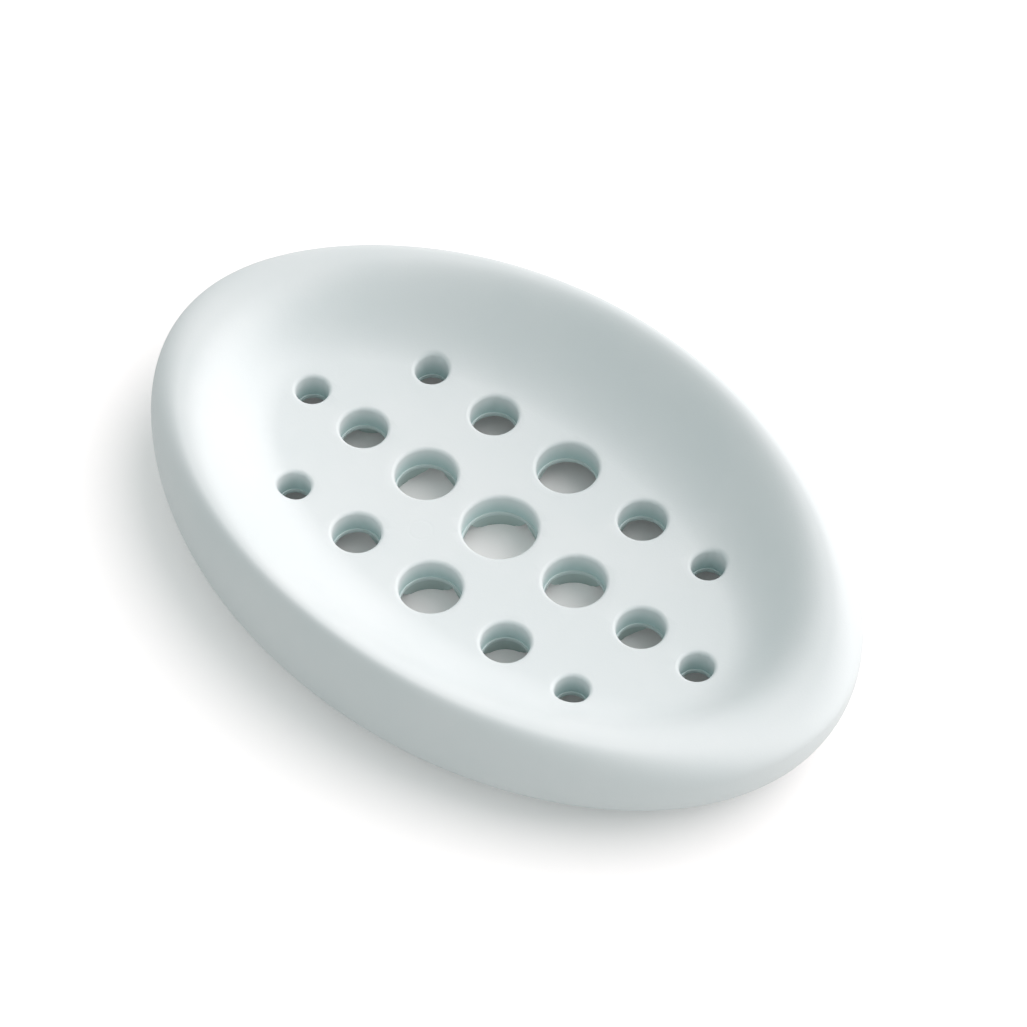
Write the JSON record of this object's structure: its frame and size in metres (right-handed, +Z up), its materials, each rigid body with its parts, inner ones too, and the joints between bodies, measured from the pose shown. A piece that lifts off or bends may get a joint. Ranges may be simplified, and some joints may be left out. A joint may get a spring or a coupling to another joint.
{
  "type": "soap dish",
  "caption": "Oval soap dish with a wavy rim, broad end lips and a drained floor, standing on short feet.",
  "frame": {"origin": "on the surface that the feet stand on, under the middle of the dish", "axes": "+X along the dish's length, +Y across it towards the back, +Z up"},
  "size_m": [0.129, 0.083, 0.0202],
  "materials": {
    "dish": "matte soft-touch moulding, very pale mint",
    "plate": "matte moulding, pale mint",
    "feet": "matte rubber, pale mint"
  },
  "bodies": {
    "root": {"dish": "dish", "base_plate": "plate", "inner_foot_front_left": "feet", "inner_foot_front_right": "feet", "inner_foot_back_left": "feet", "inner_foot_back_right": "feet", "row_foot_left": "feet", "row_foot_right": "feet", "outer_foot_front_left": "feet", "outer_foot_front_right": "feet", "outer_foot_back_left": "feet", "outer_foot_back_right": "feet"}
  },
  "joints": []
}
